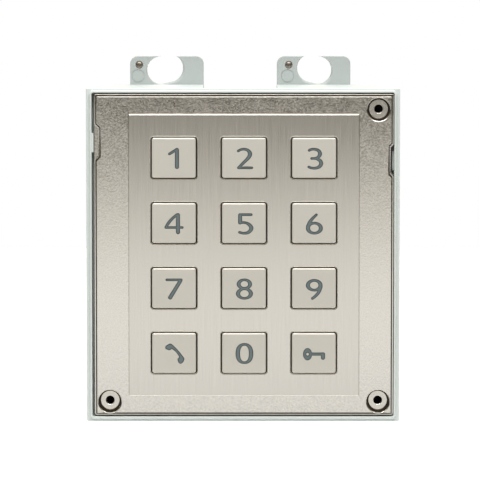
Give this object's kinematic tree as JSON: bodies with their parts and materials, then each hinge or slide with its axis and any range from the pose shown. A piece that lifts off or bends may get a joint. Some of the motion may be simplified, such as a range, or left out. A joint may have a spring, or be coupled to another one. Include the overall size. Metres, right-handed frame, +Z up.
{
  "type": "door-station keypad module",
  "caption": "Modular door-station keypad: square-shouldered pale plastic housing with hooking lugs, nickel-plated front plate and numbered keys that press in.",
  "frame": {"origin": "middle of the housing's flat rear face, which goes against the wall", "axes": "+Z up, -Y out of the front with the keys, +X to the right when facing the keys"},
  "size_m": [0.0976, 0.0267, 0.1141],
  "materials": {
    "housing_plastic": "satin moulded",
    "pin_bronze": "dark bronzed",
    "nickel_plate": "satin nickel over die casting",
    "seal_rubber": "matt",
    "nickel_bush": "turned, nickel-plated",
    "key_nickel": "satin nickel plating over moulded plastic",
    "legend_clear": "smoked translucent",
    "guide_plastic": "moulded",
    "silicone": "matt translucent",
    "board_green": "solder-resist",
    "gold": "gold flash",
    "led_lens": "clear lens",
    "chip_black": "moulded epoxy",
    "component_tin": "satin",
    "socket_plastic": "moulded",
    "zinc_screw": "zinc-plated",
    "label_paper": "matt film"
  },
  "bodies": {
    "module": {"housing": "housing_plastic", "lug_pins": "pin_bronze", "front_plate": "nickel_plate", "plate_seal": "seal_rubber", "trim_bushes": "nickel_bush", "key_guide": "guide_plastic", "key_mat": "silicone", "circuit_board": "board_green", "contact_pads": "gold", "leds": "led_lens", "controller_chip": "chip_black", "board_components": "component_tin", "bus_socket_in": "socket_plastic", "bus_socket_out": "socket_plastic", "socket_pins": "gold", "board_screws": "zinc_screw", "plate_screws": "zinc_screw", "rear_label": "label_paper"},
    "key_1": {"key_cap_1": "key_nickel", "legend_1": "legend_clear"},
    "key_2": {"key_cap_2": "key_nickel", "legend_2": "legend_clear"},
    "key_3": {"key_cap_3": "key_nickel", "legend_3": "legend_clear"},
    "key_4": {"key_cap_4": "key_nickel", "legend_4": "legend_clear"},
    "key_5": {"key_cap_5": "key_nickel", "legend_5": "legend_clear"},
    "key_6": {"key_cap_6": "key_nickel", "legend_6": "legend_clear"},
    "key_7": {"key_cap_7": "key_nickel", "legend_7": "legend_clear"},
    "key_8": {"key_cap_8": "key_nickel", "legend_8": "legend_clear"},
    "key_9": {"key_cap_9": "key_nickel", "legend_9": "legend_clear"},
    "key_call": {"key_cap_call": "key_nickel", "legend_call": "legend_clear"},
    "key_0": {"key_cap_0": "key_nickel", "legend_0": "legend_clear"},
    "key_unlock": {"key_cap_unlock": "key_nickel", "legend_unlock": "legend_clear"}
  },
  "joints": [
    {"name": "press_1", "type": "slide", "parent": "module", "child": "key_1", "axis": [0, 1, 0], "range_m": [0, 0.0012], "stiffness_N_per_m": 1200, "springref_m": -0.0003, "deforming": ["key_mat"]},
    {"name": "press_2", "type": "slide", "parent": "module", "child": "key_2", "axis": [0, 1, 0], "range_m": [0, 0.0012], "stiffness_N_per_m": 1200, "springref_m": -0.0003, "deforming": ["key_mat"]},
    {"name": "press_3", "type": "slide", "parent": "module", "child": "key_3", "axis": [0, 1, 0], "range_m": [0, 0.0012], "stiffness_N_per_m": 1200, "springref_m": -0.0003, "deforming": ["key_mat"]},
    {"name": "press_4", "type": "slide", "parent": "module", "child": "key_4", "axis": [0, 1, 0], "range_m": [0, 0.0012], "stiffness_N_per_m": 1200, "springref_m": -0.0003, "deforming": ["key_mat"]},
    {"name": "press_5", "type": "slide", "parent": "module", "child": "key_5", "axis": [0, 1, 0], "range_m": [0, 0.0012], "stiffness_N_per_m": 1200, "springref_m": -0.0003, "deforming": ["key_mat"]},
    {"name": "press_6", "type": "slide", "parent": "module", "child": "key_6", "axis": [0, 1, 0], "range_m": [0, 0.0012], "stiffness_N_per_m": 1200, "springref_m": -0.0003, "deforming": ["key_mat"]},
    {"name": "press_7", "type": "slide", "parent": "module", "child": "key_7", "axis": [0, 1, 0], "range_m": [0, 0.0012], "stiffness_N_per_m": 1200, "springref_m": -0.0003, "deforming": ["key_mat"]},
    {"name": "press_8", "type": "slide", "parent": "module", "child": "key_8", "axis": [0, 1, 0], "range_m": [0, 0.0012], "stiffness_N_per_m": 1200, "springref_m": -0.0003, "deforming": ["key_mat"]},
    {"name": "press_9", "type": "slide", "parent": "module", "child": "key_9", "axis": [0, 1, 0], "range_m": [0, 0.0012], "stiffness_N_per_m": 1200, "springref_m": -0.0003, "deforming": ["key_mat"]},
    {"name": "press_call", "type": "slide", "parent": "module", "child": "key_call", "axis": [0, 1, 0], "range_m": [0, 0.0012], "stiffness_N_per_m": 1200, "springref_m": -0.0003, "deforming": ["key_mat"]},
    {"name": "press_0", "type": "slide", "parent": "module", "child": "key_0", "axis": [0, 1, 0], "range_m": [0, 0.0012], "stiffness_N_per_m": 1200, "springref_m": -0.0003, "deforming": ["key_mat"]},
    {"name": "press_unlock", "type": "slide", "parent": "module", "child": "key_unlock", "axis": [0, 1, 0], "range_m": [0, 0.0012], "stiffness_N_per_m": 1200, "springref_m": -0.0003, "deforming": ["key_mat"]}
  ]
}
